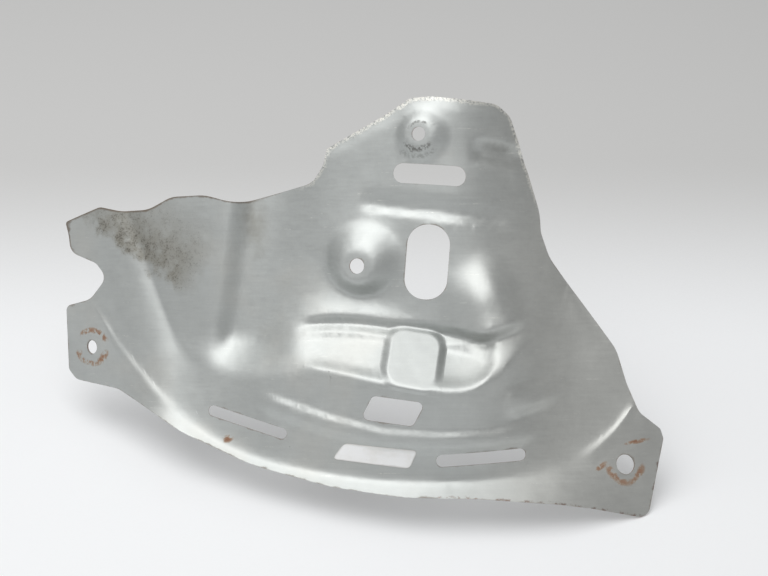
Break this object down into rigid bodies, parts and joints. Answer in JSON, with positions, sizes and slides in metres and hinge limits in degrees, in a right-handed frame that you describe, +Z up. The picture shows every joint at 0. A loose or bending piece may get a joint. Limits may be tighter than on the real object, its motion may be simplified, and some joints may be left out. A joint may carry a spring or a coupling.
{
  "type": "exhaust heat shield",
  "caption": "Pressed aluminised-steel exhaust heat shield with bolt ears, raised bolt bosses, cooling slots and stiffening beads, worn and rust-marked.",
  "frame": {"origin": "centre of the right ear's bolt hole on the front face", "axes": "+X along the shield to the right ear, +Z up, -Y to the front; the pressing leans back 30 degrees, as it stands in the picture"},
  "size_m": [0.2768, 0.1258, 0.1643],
  "materials": {
    "aluminised_steel": "satin"
  },
  "bodies": {
    "root": {"heat_shield": "aluminised_steel"}
  },
  "joints": []
}
